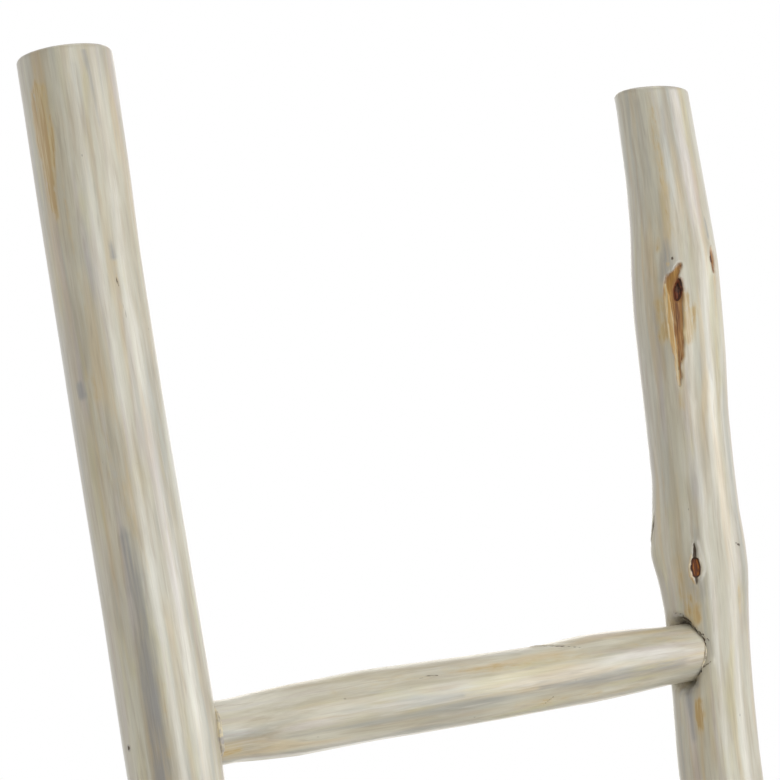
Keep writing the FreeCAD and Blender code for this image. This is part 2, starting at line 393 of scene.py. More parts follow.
# What the photo shows on the poles, from the top rung's height
left_marks = placed(marks_of(
    ochre=[((0.3, 6), (414, 203, 2), (402, 202, 5.5)),
           ((1.4, 6), (393, 201, 5.6), (378, 200, 6.6), (361, 201, 5.8), (342, 200, 3.4), (318, 199, 1.4)),
           ((0.5, 5), (396, 196, 2), (370, 196, 2)),
           ((0.45, 5), (352, 213, 1.6), (325, 216, 2), (290, 218, 1.5)),
           ((0.4, 6), (400, 240, 2), (380, 238, 2)),
           ((0.5, 4), (284, 264, 1.6), (250, 266, 1.4)),
           ((0.4, 6), (300, 220, 2.4), (250, 219, 2.6), (205, 217, 3)),
           ((0.5, 4), (226, 209, 1.2), (217, 209, 2)),
           ((0.35, 7), (190, 214, 4), (150, 228, 6), (120, 236, 3)),
           ((0.4, 5), (40, 240, 2), (-10, 236, 2.4))],
    grey=[((0.75, 4), (414, 264, 1.4), (396, 268, 1.1), (366, 271, 0.8)),
          ((0.35, 8), (405, 252, 5), (350, 255, 4), (300, 250, 3)),
          ((0.9, 5), (296, 263.5, 1.2), (287, 264.5, 1.8)),
          ((0.9, 5), (214, 196, 2.2), (208, 197, 3)),
          ((0.3, 9), (175, 219, 0), (128, 223, 5), (80, 228, 6)),
          ((0.75, 7), (131, 222, -1.5), (120, 224, 3.6), (96, 228, 5.2), (25, 227, 6.2), (-40, 223, 5.8),
           (-130, 215, 2))],
    slit=[((0.2, 0, 0.3), (275, 263, -0.1), (272, 264, 0.2), (269, 265, -0.1)),
          ((0.2, 0, 0.3), (260, 266, -0.15), (254, 268, 0.2), (248, 269, -0.15))]), top)

# In order of height: the little marks over the long scar, the brown knot on the right edge, the
# slits of the burl, and the stains and torn strands round the joint
right_marks = placed(scar, top + 245, 226) + placed(marks_of(
    slit=[((0.5, 0, 0.1), (268, 228, 0.7), (267.5, 228, 0.7)),
          ((2.2, 0.6, 0.2), (98, 161, 0.3), (90, 157, 1.2), (82, 154, 0.3)),
          ((0.4, 0, 0.3), (69, 283, 0.4), (67.5, 289, 0.5)),
          ((1.2, 0.4, 0.7), (26, 178, 0), (25.2, 186, 0.6), (24.2, 194, 0.8), (21, 204, 0.3)),
          ((0.8, 0.4, 0.6), (29, 178, 0), (28.5, 186, 0.4), (27.2, 194, 0.1)),
          ((0.3, 0.2, 0.4), (-11.5, 212, 0), (-9.6, 219, 0.05), (-7, 229, -0.15))],
    scar=[((1, 0.4, 0.5), (272, 289, 1.4), (265, 289, 3.2), (256, 289, 1.6))],
    pit=[((0.9, 0, 0.3), (269, 288, 1.2), (263.5, 288, 1.8))],
    tan=[((1, 1.2), (264.5, 222, 1.1), (264, 222, 1.1))],
    ochre=[((1, 1.6), (264.5, 222, 1.4), (264, 222, 1.4)),
           ((0.55, 7), (392, 229, 2.5), (343, 224.5, 3.5), (309, 229, 3.2), (284, 230, 2.8)),
           ((0.45, 6), (300, 211, 1.6), (276, 210, 2.2)),
           ((0.5, 4), (252, 288, 2), (225, 286, 1.2)),
           ((0.4, 7), (140, 190, 2), (95, 184, 2.4)),
           ((0.4, 7), (120, 205, 2.4), (92, 206, 2)),
           ((0.5, 8), (66, 197, 3), (38, 194, 5)),
           ((0.5, 3), (39, 279, 1.6), (32, 279, 2), (8, 282, 0.8)),
           ((0.85, 7), (38, 205, 3), (30, 208, 6), (23, 212, 4)),
           ((0.4, 5), (-30, 174, 1.6), (-46, 174, 1.6)),
           ((0.85, 6), (-32, 208, 2.6), (-42, 208, 4.4), (-52, 207, 3))],
    grey=[((0.4, 7), (380, 207, 3.5), (320, 205, 3.5)),
          ((0.8, 3), (293, 286, 0.6), (280, 287, 1.2)),
          ((0.9, 1.6), (268, 217, 0.6), (267.5, 217, 0.6)),
          ((0.5, 6), (44, 213, 3), (37, 216, 2.5)),
          ((0.5, 3), (39, 279, 1.2), (30, 279, 1.6)),
          ((0.65, 5), (25, 170, 3), (26, 190, 3), (21, 205, 1.5)),
          ((0.7, 4), (-17, 209, 2), (-21, 207, 2)),
          ((0.7, 5), (-24, 190, 3), (-38, 194, 2.6), (-56, 195, 2))]), top) + placed(knot, top + 57, 220.3)

# Marks below the photo's edge and at the back: kind, share of the pole's length, angle, size
left_hidden = ((knot, 0.195, 300, 1.1), (scar, 0.340, 95, 0.8), (knot, 0.520, 215, 1.0),
               (knot, 0.655, 20, 0.9))
right_hidden = ((scar, 0.200, 120, 0.8), (knot, 0.385, 250, 1.1), (knot, 0.560, 60, 0.9),
                (scar, 0.703, 300, 0.7))


# Poles

class Pole:
    """A pole of the frame, dressed as the stripped branch it is."""

    def __init__(self, node, side, marks, hidden, seed):
        self.node, self.side, self.seed = node, side, seed
        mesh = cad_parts[node].data
        self.tree = shell(mesh)
        points = corners(mesh)
        self.guess = (points.min(0) + points.max(0)) / 2
        self.length = points[:, 2].max()
        self.joints = [axis.start if side < 0 else axis.end for axis in axes]
        self.marks = list(marks)
        for kind, share, angle, size in hidden:
            self.marks += placed(kind, share * self.length, angle, size)
        self.find_pith()
        self.find_top()
        self.within = (8.0, self.length - 14.0)
        self.form = Form(*self.within)
        across, deep = np.array((1, 0, 0)), np.array((0, 1, 0))
        self.form.survey(self.tree, lambda place: (self.pith(place), across, deep), self.in_joint)

    def find_pith(self):
        heights, middles = [], []
        for height in np.arange(6.0, self.length - 12.0, 12.0):
            if min(abs(height - joint[2]) for joint in self.joints) < 30:
                continue
            middle = np.array((self.guess[0], self.guess[1], height))
            for step in np.eye(3)[[0, 1, 0, 1]]:
                middle += step * (reach(self.tree, middle, step) - reach(self.tree, middle, -step)) / 2
            heights.append(height)
            middles.append(middle[:2])
        self.pith_heights = np.arange(0.0, self.length + 1, 6.0)
        rough = [np.interp(self.pith_heights, heights, line) for line in np.transpose(middles)]
        self.pith_middles = softened(np.stack(rough, axis=1), 4)

    def pith(self, places):
        xy = [np.interp(places, self.pith_heights, line) for line in self.pith_middles.T]
        return np.stack(xy + [np.asarray(places, float)], axis=-1)

    def find_top(self):
        """The height of the top at the pith and its slopes."""
        middle = self.pith(self.length - 8.0)
        def height(x, y):
            start = Vector((middle[0] + x, middle[1] + y, self.length + 50))
            return self.tree.ray_cast(start, Vector((0, 0, -1)))[0].z
        self.top = height(0.01, 0.02)
        self.slopes = np.array(((height(12, 0) - height(-12, 0)) / 24, (height(0, 12) - height(0, -12)) / 24))

    def in_joint(self, point):
        for axis in axes:
            if abs(point[2] - axis.start[2]) < 40:
                _, away, _ = axis.seen(np.asarray(point)[None])
                inner = (point[0] - self.pith(point[2])[0]) * self.side < 0
                if away[0] < (axis.shoulder_radius + 1.5 if inner else 4.0):
                    return True
        return False

    def worn(self, places, angles):
        """The radius with bumps and marks."""
        radius = self.form.radius(places, angles)
        bumps(radius, places, angles, self.seed, ((0.21, 5, 75), (0.04, 9, 32), (0.008, 40, 16)))
        for mark in self.marks:
            if mark.depth:
                gap = mark.gap(places, angles, radius)
                sink(radius, gap, mark, 1.1 if mark.depth < 3 else 1.8, 1.3, 1.4)
                if mark.kind == "scar":
                    fibres = around(angles, places, 150, 18, self.seed + 4)
                    radius += 0.4 * fibres * smooth(gap, 0.0, -1.5)
        return radius

    def build(self):
        # Finer rings at both ends, over the photo's scar and burl, at joints and at hidden marks
        fine = [(0, 3, 0.8), (self.top, 3, 0.8), (top + 155, 120, 1.35), (top + 30, 60, 1.25)]
        fine += [(joint[2], 24, 1.9) for joint in self.joints[:-1]]
        for mark in self.marks:
            if mark.depth and mark.course[0][0] < top - 60:
                stops = [stop[0] for stop in mark.course]
                fine.append(((min(stops) + max(stops)) / 2, (max(stops) - min(stops)) / 2 + 3, 2.0))
        # Finer steps over the half that the photo shows
        seen, unseen = np.linspace(144, 324, 105)[:-1], np.linspace(324, 504, 43)[:-1]
        turns = np.radians(np.concatenate([seen, unseen]))
        places, angles = np.meshgrid(stations(0.0, self.top, 9.0, fine), turns, indexing="ij")
        radius = self.worn(np.clip(places, 3, self.top - 5), angles)
        rounding = 2.8 + 0.5 * around(angles, places, 9, 500, self.seed + 5)
        short = np.clip(rounding - np.minimum(places, self.top - places), 0, None)
        radius -= rounding - np.sqrt(np.maximum(rounding ** 2 - short ** 2, 0))
        out = np.stack([np.cos(angles), np.sin(angles)], axis=-1)
        rings = self.pith(places)
        rings[..., :2] += radius[..., None] * out
        rings[..., 2] += smooth(places, self.top - 70, self.top - 4) * radius * (out @ self.slopes)
        foot, head = self.face(rings[0], turns, 0.0), self.face(rings[-1], turns, 0.12)
        piece = closed(held(np.concatenate([foot[::-1], rings, head])), self.node + "_wood")
        carve(piece, [self.seat(number) for number in range(5)] + [self.nail_hole(axis) for axis in axes])
        self.paint(piece.data)
        return piece

    def face(self, rim, turns, waves):
        """Rings across a sawn end, from its rim inwards, with the saw's faint waves."""
        middle = rim.mean(0)
        rings = []
        for share in (0.96, 0.88, 0.76, 0.62, 0.47, 0.32, 0.17, 0.06):
            ring = middle + (rim - middle) * share
            ring[:, 2] += waves * (around(turns, share * 100, 5, 30, self.seed + 6) - 1)
            rings.append(ring)
        return np.array(rings)

    def torn(self, number, turns):
        """How torn the wood is round a rung's seat: 1 in the middle of the torn side, 0 opposite."""
        if number < TOP_RUNG:
            return facing(turns, 70 + 47 * number + 25 * self.side, 1.3, 0.4)
        if self.side < 0:
            return facing(turns, 20, 0.9, 0.3)
        return facing(turns, 122, 1.3, 0.4) + 0.8 * facing(turns, 229, 0.28, 0.08)

    def gap(self, number, turns):
        """How far a seat stands off its rung."""
        jag = 0.8 + 0.7 * around(turns, 40.0 * number, 60, 10, self.seed + 20)
        jag = np.clip(jag + 0.7 * around(turns, 40.0 * number, 130, 10, self.seed + 21), 0.3, 1.8)
        return 0.12 + 1.9 * jag * self.torn(number, turns)

    def wall(self, number, places, turns, share):
        """A seat's radius at places along its rung, or a line at a share of its gap."""
        rung = rungs[number]
        hugging = np.maximum(rung.worn(places, turns), rung.axis.shoulder_radius)
        return hugging + share * self.gap(number, turns)

    def seat(self, number):
        """What a rung's seat takes out of the pole, torn wider on one side of the rung."""
        axis = axes[number]
        inwards, shoulder = self.shoulder(axis)
        turns = np.radians(np.arange(0, 360, 2.0))
        rings = []
        for offset in (-0.05, 1.0, 2.5, 4.0, 6.0, 8.0, 11.0, 15.0, 21.0, 33.0)[::inwards]:
            places = np.full_like(turns, shoulder + inwards * offset)
            share = 0.6 + 0.4 * smooth(offset, 0.0, 4.0)
            rings.append(axis.point(places, turns, self.wall(number, places, turns, share)))
        return closed(np.array(rings), "seat")

    def shoulder(self, axis):
        """The way from this pole along a rung's axis, and the place of the rung's shoulder in it."""
        return (1, axis.shoulders[0]) if self.side < 0 else (-1, axis.shoulders[1])

    def nail_hole(self, axis):
        """The round mouth of a nail's hole, down to the nail's head."""
        place = axis.start if self.side < 0 else axis.end
        middle = self.pith(place[2])
        surface = self.form.radius(place[2:], np.array([0.0 if self.side > 0 else math.pi]))[0]
        edge = (middle + np.array((self.side * surface, 0, 0)) - axis.start) @ axis.along
        turns = np.radians(np.arange(0, 360, 24.0))
        radius = 1.15 + 0.15 * around(turns, place[2], 9, 10, self.seed + 30)
        rings = [axis.point(edge + self.side * out, turns, radius * share)
                 for out, share in ((-1.5, 0.9), (-0.3, 1.0), (3.0, 1.3))]
        return closed(np.array(rings[::self.side]), "nail hole")

    def paint(self, mesh):
        """Set what the finish reads: the grain's own space, marks, the depth that sets the painted shade in
        the seats, joints and ends.
        """
        points = corners(mesh)
        places = points[:, 2].copy()
        apart = points[:, :2] - self.pith(places)[:, :2]
        angles = np.arctan2(apart[:, 1], apart[:, 0])
        away = np.hypot(apart[:, 0], apart[:, 1])
        nominal = self.form.radius(np.clip(places, *self.within), angles)
        below_top = self.top + apart @ self.slopes - places
        trunk = (below_top > 5) & (places > 5)
        paint_marks(mesh, self.marks, places, angles, nominal, trunk)
        depth = np.where(trunk, nominal - away, 0)
        from_end = np.minimum(below_top, places)
        joint, nail = np.full((2, len(points)), FAR)
        outward = apart[:, 0] * self.side
        for axis in axes:
            _, off, _ = axis.seen(points)
            from_seat = np.clip(off - axis.shoulder_radius, 0, FAR)
            joint = np.where(outward < 8, np.minimum(joint, from_seat), joint)
            nail = np.where(outward > 8, np.minimum(nail, off), nail)
        # Near the joints, the depth under the surface sets painted shade in the seats
        put(mesh, sawn=smooth(from_end, 0.7, 0.15) * smooth(away - nominal, -0.5, -3.2),
            rim=smooth(from_end, 4.0, 0.5), joint=joint, hollow=np.where(joint < 8, depth, 0), nail=nail,
            grain=np.column_stack([apart, places + 400.0 * self.seed]))


def paint_marks(mesh, marks, places, angles, radius, where):
    """Store the distance to each kind of cut and the strength of each kind of stain."""
    for kind in ("scar", "heart", "pit", "slit", "ridge", "ochre", "tan", "grey"):
        start = 0.0 if kind in ("ochre", "tan", "grey") else FAR
        value = np.full(len(places), start)
        for mark in marks:
            if mark.kind == kind:
                gap = mark.gap(places, angles, radius)
                shown = mark.strength * smooth(gap, mark.soft * 0.7, -mark.soft * 0.7)
                value = np.minimum(value, gap) if start else np.maximum(value, shown)
        put(mesh, **{kind: np.where(where, np.clip(value, -20, FAR), start)})


# Rungs

# The whittled faces of each rung: angle in degrees and depth as a share of the radius
rung_flats = (
    ((15, 0.03), (70, 0.04), (118, 0.025), (170, 0.035), (228, 0.03), (281, 0.04), (330, 0.02)),
    ((0, 0.035), (48, 0.02), (101, 0.04), (150, 0.03), (205, 0.035), (250, 0.025), (308, 0.04)),
    ((25, 0.025), (77, 0.035), (130, 0.03), (188, 0.045), (240, 0.02), (290, 0.035), (342, 0.03)),
    ((8, 0.04), (60, 0.025), (112, 0.035), (160, 0.02), (210, 0.04), (262, 0.03), (318, 0.03)),
    ((182, 0.02), (214, 0.045), (262, 0.025), (305, 0.03), (352, 0.03), (40, 0.03), (92, 0.02),
     (140, 0.028)),
)
top_rung_marks = marks_of(
    slit=[((0.9, 0.4, 0.3), (278, 111, 0.2), (288, 120, 0.6), (298, 129, 0.4), (310, 138, 0)),
          ((0.3, 0, 0.3), (273, 232, 0.1), (277, 224, 0.3), (281, 216, 0.1)),
          ((0.3, 0, 0.4), (175, 150, 0.1), (182, 149, 0.3), (190, 150, 0.1))],
    grey=[((0.6, 4), (170, 190, 1), (205, 188, 1.4)),
          ((0.45, 7), (60, 205, 2), (200, 203, 2.5), (330, 206, 2)),
          ((0.55, 9), (268, 196, 3.5), (320, 200, 6), (392, 198, 5)),
          ((0.35, 9), (10, 243, 4), (200, 244, 5), (400, 243, 4))],
    ochre=[((0.6, 5), (24, 222, 2.4), (40, 218, 3.2)),
           ((0.42, 9), (110, 150, 4), (160, 146, 4.6), (230, 150, 5), (320, 152, 4.6)),
           ((0.45, 7), (345, 148, 3), (385, 146, 3.5)),
           ((0.45, 7), (250, 222, 2.5), (320, 228, 3.5))])
# From the middle of a lower rung, turned a little further on each
lower_rung_marks = marks_of(
    slit=[((0.6, 0.2, 0.2), (-60, 0, 0.2), (-45, 4, 0.6), (-30, 3, 0.2))],
    heart=[((0.8, 0.4, 0.3), (74, 29, 0.3), (69, 30, 1.7), (66, 31, 2), (60, 33, 0.2))],
    grey=[((0.5, 6), (-20, 100, 2), (90, 96, 2.5))],
    ochre=[((0.5, 6), (20, 200, 2), (80, 206, 3)), ((0.5, 6), (86, 27, 1.6), (52, 34, 3))])


class Rung:
    """A rung of the frame, dressed as a whittled branch."""

    def __init__(self, number):
        self.number, self.axis, self.node = number, axes[number], RUNGS[number]
        self.seed = 200 + 30 * number
        low, high = self.axis.shoulders
        self.form = Form(low + 1.0, high - 1.0)
        def frame_of(place):
            return self.axis.start + place * self.axis.along, self.axis.across, self.axis.up
        self.form.survey(shell(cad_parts[self.node].data), frame_of, lambda point: False)
        self.marks = top_rung_marks
        if number < TOP_RUNG:
            self.marks = placed(lower_rung_marks, self.axis.length / 2, 70 * number)

    def worn(self, places, angles):
        low, high = self.axis.shoulders
        radius = self.form.radius(places, angles)
        bare = smooth(np.minimum(places - low, high - places), 9, 30)
        radius *= 1 + (shaved(angles, places, rung_flats[self.number], self.seed) - 1) * bare
        bumps(radius, places, angles, self.seed, ((0.30, 6, 70), (0.12, 20, 22), (0.05, 50, 9)), bare)
        for mark in self.marks:
            if mark.depth:
                sink(radius, mark.gap(places, angles, radius), mark, 0.8, 1.2, 1.2)
        return radius

    def build(self):
        axis = self.axis
        low, high = axis.shoulders
        turns = np.radians(np.arange(0, 360, 360 / 112))
        tenon = np.minimum(axis.half_width / np.maximum(np.abs(np.cos(turns)), 1e-6),
                           axis.half_height / np.maximum(np.abs(np.sin(turns)), 1e-6))
        fine = [(low + 14, 14, 1.5), (high - 14, 14, 1.5)] + [(285, 26, 1.3)] * (self.number == TOP_RUNG)
        places, angles = np.meshgrid(stations(low, high, 2.4, fine), turns, indexing="ij")
        body = axis.point(places, angles, self.worn(places, angles))
        start, left, right, end = (axis.point(place, turns, tenon) for place in (0.0, low, high, axis.length))
        piece = closed(held(np.array([start, left, *body, right, end])), self.node + "_wood")
        self.paint(piece.data)
        return piece

    def paint(self, mesh):
        places, away, angles = self.axis.seen(corners(mesh))
        low, high = self.axis.shoulders
        body = (places > low + 0.1) & (places < high - 0.1)
        nominal = self.form.radius(np.clip(places, low, high), angles)
        paint_marks(mesh, self.marks, places, angles, nominal, body)
        none, far = np.zeros(len(places)), np.full(len(places), FAR)
        # The tenons get full painted shade, as they sit in the shade of the seats
        put(mesh, hollow=np.where(body, 0.0, 3.0), sawn=none, rim=none, nail=far, joint=far,
            grain=np.column_stack([away * np.cos(angles), away * np.sin(angles),
                                   places + 500.0 * (self.number + 5)]))


# Finishes

def tint(red, green, blue):
    """A colour as a screen shows it, made linear."""
    shares = [channel / 255 for channel in (red, green, blue)]
    return tuple(s / 12.92 if s < 0.04045 else ((s + 0.055) / 1.055) ** 2.4 for s in shares) + (1.0,)


class Wire:
    """A node's value; sums and products of wires add the nodes that work them out."""

    def __init__(self, nodes, socket):
        self.nodes = nodes
        self.socket = socket

    def maths(self, operation, first, second):
        return self.nodes.node("ShaderNodeMath", {0: first, 1: second}, operation=operation)

    def __add__(self, other):
        return self.maths("ADD", self, other)

    def __sub__(self, other):
        return self.maths("SUBTRACT", self, other)

    def __rsub__(self, other):
        return self.maths("SUBTRACT", other, self)

    def __mul__(self, other):
        return self.maths("MULTIPLY", self, other)


class Nodes:
    """A tree of nodes, each made by one call that gives one of its outputs as a wire."""

    def node(self, kind, sockets=None, out=0, **settings):
        made = self.tree.nodes.new(kind)
        for name, value in settings.items():
            setattr(made, name, value)
        for name, value in (sockets or {}).items():
            if isinstance(value, Wire):
                self.tree.links.new(value.socket, made.inputs[name])
            else:
                made.inputs[name].default_value = value
        return Wire(self, made.outputs[out]) if made.outputs else None


class Finish(Nodes):
    """The nodes of a material or of the world, written as sums of wires."""

    def __init__(self, owner):
        self.owner = owner
        owner.use_nodes = True
        self.tree = owner.node_tree
        self.tree.nodes.clear()

    def read(self, name, out="Fac"):
        return self.node("ShaderNodeAttribute", out=out, attribute_name=name)

    def rise(self, value, low, high):
        return self.node("ShaderNodeMapRange", {"Value": value, "From Min": low, "From Max": high},
                         interpolation_type="SMOOTHSTEP")

    def mix(self, share, first, second, how="MIX"):
        return self.node("ShaderNodeMix", {0: share, 6: first, 7: second}, 2, data_type="RGBA",
                         blend_type=how)

    def lay(self, share, over, how="MIX"):
        """Lay a colour over what the finish has so far."""
        self.colour = self.mix(share, self.colour, over, how)

    def noise(self, space, scale, detail):
        return self.node("ShaderNodeTexNoise", {"Vector": space, "Scale": scale, "Detail": detail}, "Fac")

    def grain(self, space, across, along, detail=2.0, shift=0.0, bend=0.0):
        """Noise drawn out along the grain: sizes of its patches across and along, in mm."""
        stretched = self.node("ShaderNodeMapping", {
            "Vector": space, "Location": (shift, shift * 0.7, shift * 1.3),
            "Scale": (1 / across, 1 / across, 1 / along)})
        return self.node("ShaderNodeTexNoise", {"Vector": stretched, "Scale": 1.0, "Detail": detail,
                                                "Roughness": 0.55, "Distortion": bend}, "Fac")

    def bump(self, height, strength, distance):
        return self.node("ShaderNodeBump", {"Strength": strength, "Distance": distance, "Height": height},
                         "Normal")

    def looked_at(self):
        """1 for rays from the eye, straight or by way of gloss or glass, and 0 for other rays."""
        rays = [self.node("ShaderNodeLightPath", out=ray)
                for ray in ("Is Camera Ray", "Is Glossy Ray", "Is Transmission Ray")]
        return rays[0] + rays[1] + rays[2]

    def surface(self, **sockets):
        shader = self.node("ShaderNodeBsdfPrincipled", {
            name.replace("_", " "): value for name, value in sockets.items()})
        self.node("ShaderNodeOutputMaterial", {"Surface": shader})
        return self.owner


# The wash soaked in unevenly: each streak is its size across and along the grain in mm, where it
# starts to show and is full, how strong it is, and its colour
wash_streaks = (
    (11.0, 110, 0.50, 0.70, 0.52, tint(206, 180, 132)),
    (13.0, 140, 0.50, 0.70, 0.52, tint(160, 163, 159)),
    (13.0, 90, 0.53, 0.72, 0.40, tint(204, 194, 140)),
    (10.0, 140, 0.53, 0.71, 0.42, tint(190, 175, 174)),
    (10.0, 120, 0.53, 0.72, 0.40, tint(220, 216, 205)),
    (5.0, 70, 0.52, 0.70, 0.32, tint(176, 156, 126)),
    (2.6, 40, 0.53, 0.70, 0.34, tint(166, 150, 126)),
    (2.2, 44, 0.54, 0.70, 0.32, tint(214, 208, 194)),
)


def washed_teak(name, pale, shade, coat):
    """Whitewashed teak under a satin coat, with the marks painted on the mesh."""
    f = Finish(bpy.data.materials.new(name))
    space = f.read("grain", "Vector")
    fine = f.grain(space, 0.6, 16, 2, 3.1)
    grain = f.grain(space, 2.0, 40, 2, 11.7)
    broad = f.grain(space, 12, 120, 2, 0.0, 0.4)
    patch = f.grain(space, 17, 42, 3, 23.0)
    mottle = f.grain(space, 3.2, 9, 3, 57.0)
    f.colour = f.mix(f.rise(broad, 0.32, 0.66), shade, pale)
    for number, (across, along, start, full, strength, streak) in enumerate(wash_streaks):
        shown = f.rise(f.grain(space, across, along, 2, 41.0 + 16 * number, 0.4), start, full)
        f.lay(shown * strength, streak)

    # Stains break up along the grain at their edges
    broken = (grain - 0.5) * 1.5 + (patch - 0.5) * 1.2 + 0.98
    f.lay(f.rise(f.read("grey") * broken, 0.08, 0.95) * 0.9, tint(147, 144, 140))
    ragged_out = (patch - 0.5) * 1.2 + (mottle - 0.5) * 2.6
    ochre = f.rise(f.read("ochre") * (broken + ragged_out), 0.08, 0.95)
    deep = ochre * f.rise(grain + (fine - 0.5) * 0.4, 0.36, 0.60)
    f.lay(ochre * 0.85, f.mix(deep, tint(206, 184, 132), tint(182, 146, 80)))

    # Scars, ridges, dead knots, pits and slits
    ragged = (patch - 0.5) * 3.0 + (fine - 0.5) * 1.6
    wood = f.mix(f.rise(grain, 0.42, 0.64), tint(112, 70, 40), tint(176, 128, 76))
    wood = f.mix(f.rise(fine, 0.5, 0.75) * 0.5, wood, tint(222, 190, 136))
    wood = f.mix(f.read("tan") * 0.75, wood, tint(184, 138, 62))
    bared = f.rise(f.read("scar") + ragged * 0.5, 1.3, -1.3)
    f.lay(bared, wood)
    # Ridges: pale bared wood with a painted highlight along the raised edge
    lip = f.mix(f.rise(grain, 0.38, 0.6), tint(234, 220, 180), tint(204, 166, 104))
    f.lay(f.rise(f.read("ridge") + ragged * 0.25, 0.7, -0.3) * 0.8, lip)
    heart = f.read("heart") + ragged * 0.3
    f.lay(f.rise(heart, 1.9, 0.6) * 0.5, tint(226, 214, 186))
    dead = f.mix(f.rise(fine, 0.42, 0.6), tint(62, 32, 18), tint(98, 54, 28))
    core = f.mix(f.rise(grain, 0.42, 0.58), tint(116, 62, 22), tint(196, 122, 52))
    core = f.mix(f.rise(mottle + fine * 0.5, 0.7, 0.86) * 0.75, core, tint(74, 42, 26))
    dark = f.rise(heart, 0.5, -0.1)
    f.lay(dark, f.mix(f.rise(heart + ragged * 0.5, -0.5, -1.4), dead, core))
    pit = f.read("pit") + ragged * 0.4
    f.lay(f.rise(pit, 2.6, 0.2) * 0.7, tint(150, 104, 54))
    burnt = f.rise(pit, 0.4, -0.3)
    char = f.mix(f.rise(mottle, 0.46, 0.6), tint(60, 38, 30), tint(122, 62, 34))
    f.lay(burnt, f.mix(f.rise(fine, 0.5, 0.66) * 0.6, char, tint(156, 98, 58)))
    # Slits: dark crack wood, partly painted shade inside the cracks and along the scar's valley
    slit = f.rise(f.read("slit") + ragged * 0.22, 0.45, -0.1)
    f.lay(slit * 0.88, tint(72, 54, 40))

    # Grime at the joints, painted shade inside the seats and over the tenons, and iron stain round the nails
    grime = f.rise(f.read("joint") + ragged * 0.9, 5.0, 0.2)
    f.lay(grime * 0.4, tint(140, 130, 110))
    # Painted shade: a dark colour laid into the seats by depth and over the tenons
    inside = f.mix(f.rise(patch, 0.42, 0.6), tint(46, 36, 30), tint(84, 60, 46))
    f.lay(f.rise(f.read("hollow"), 0.8, 1.7), inside)
    f.lay(f.rise(f.read("nail"), 2.8, 1.4) * 0.55, tint(92, 80, 70))

    # Sawn ends with their rings, and worn rims
    end = f.read("sawn")
    offset = f.node("ShaderNodeVectorMath", {0: space, 1: (1, 1, 0)}, operation="MULTIPLY")
    radius = f.node("ShaderNodeVectorMath", {0: offset}, "Value", operation="LENGTH")
    rings = f.node("ShaderNodeMath", {0: (radius + (patch - 0.5) * 3.5) * 2.6}, operation="SINE")
    sawn = f.mix(f.rise(rings, -0.4, 0.9), tint(200, 188, 162), tint(170, 153, 124))
    sawn = f.mix(f.rise(radius, 5.0, 1.5), sawn, tint(122, 96, 66))
    sawn = f.mix(f.rise(f.noise(space, 0.9, 3.0), 0.5, 0.72) * 0.5, sawn, tint(150, 134, 110))
    f.lay(end, sawn)
    rim = f.read("rim")
    f.lay(rim * f.rise(patch, 0.3, 0.6) * 0.35, tint(150, 138, 116))
    f.lay(f.rise(rim, 0.80, 1.0) * f.rise(patch, 0.36, 0.5) * 0.55, tint(122, 112, 92))

    # Faint light and dark in the whole, and scattered specks
    dull = (0.945, 0.94, 0.93, 1)
    f.lay(1.0, f.mix(f.rise(fine, 0.3, 0.7), dull, (1.02, 1.02, 1.02, 1)), "MULTIPLY")
    f.lay(1.0, f.mix(f.rise(patch, 0.32, 0.68), dull, (1.03, 1.03, 1.03, 1)), "MULTIPLY")
    spread = f.node("ShaderNodeMapping", {"Vector": space, "Scale": (1 / 8.5, 1 / 8.5, 1 / 15.0)})
    specks = f.node("ShaderNodeTexVoronoi", {"Vector": spread, "Scale": 1.0}, "Distance")
    dots = f.rise(specks + (f.grain(space, 9, 9, 1, 131.0) - 0.5) * 0.35, 0.02, -0.03)
    f.lay(dots * 0.5, tint(120, 106, 92))

    bare = f.node("ShaderNodeMath", {0: bared + dark, 1: burnt + slit}, operation="ADD", use_clamp=True)
    rough = (grain - 0.5) * 0.18 + bare * 0.25 + end * 0.25 + grime * 0.12 + 0.42
    height = fine * 0.3 + grain * 0.4 + patch * 0.6 + broad * 0.6
    return f.surface(Base_Color=f.colour, Roughness=rough, Normal=f.bump(height, 0.4, 0.0005),
                     Coat_Weight=(1 - bare) * (1 - end * 0.8) * coat, Coat_Roughness=0.28)


def old_iron():
    """Dark nail iron with a little rust."""
    f = Finish(bpy.data.materials.new("old_iron"))
    rust = f.noise(f.node("ShaderNodeTexCoord", out="Object"), 900.0, 4.0)
    colour = f.mix(f.rise(rust, 0.45, 0.65), tint(132, 124, 114), tint(140, 112, 88))
    return f.surface(Base_Color=colour, Roughness=rust * 0.3 + 0.45, Metallic=0.3,
                     Normal=f.bump(rust, 0.5, 0.0002))


def wood_filler():
    """Pale filler and glue pressed into the joints."""
    f = Finish(bpy.data.materials.new("wood_filler"))
    space = f.node("ShaderNodeTexCoord", out="Object")
    lumps = f.noise(space, 420.0, 4.0)
    f.colour = f.mix(f.rise(lumps, 0.38, 0.64), tint(220, 206, 172), tint(186, 176, 156))
    f.lay(f.rise(f.noise(space, 90.0, 2.0), 0.5, 0.62) * 0.7, tint(166, 160, 160))
    f.lay(f.rise(lumps, 0.64, 0.74), tint(126, 110, 92))
    return f.surface(Base_Color=f.colour, Roughness=0.6, Normal=f.bump(lumps, 0.7, 0.0006))


def torn_wood():
    """Split fibres at the seats, some bare and some washed."""
    f = Finish(bpy.data.materials.new("torn_wood"))
    fibres = f.noise(f.node("ShaderNodeTexCoord", out="Object"), 700.0, 3.0)
    colour = f.mix(f.rise(fibres, 0.40, 0.62), tint(196, 186, 162), tint(74, 60, 48))
    return f.surface(Base_Color=colour, Roughness=0.65, Normal=f.bump(fibres, 0.6, 0.0003))


# Making and placing the pieces

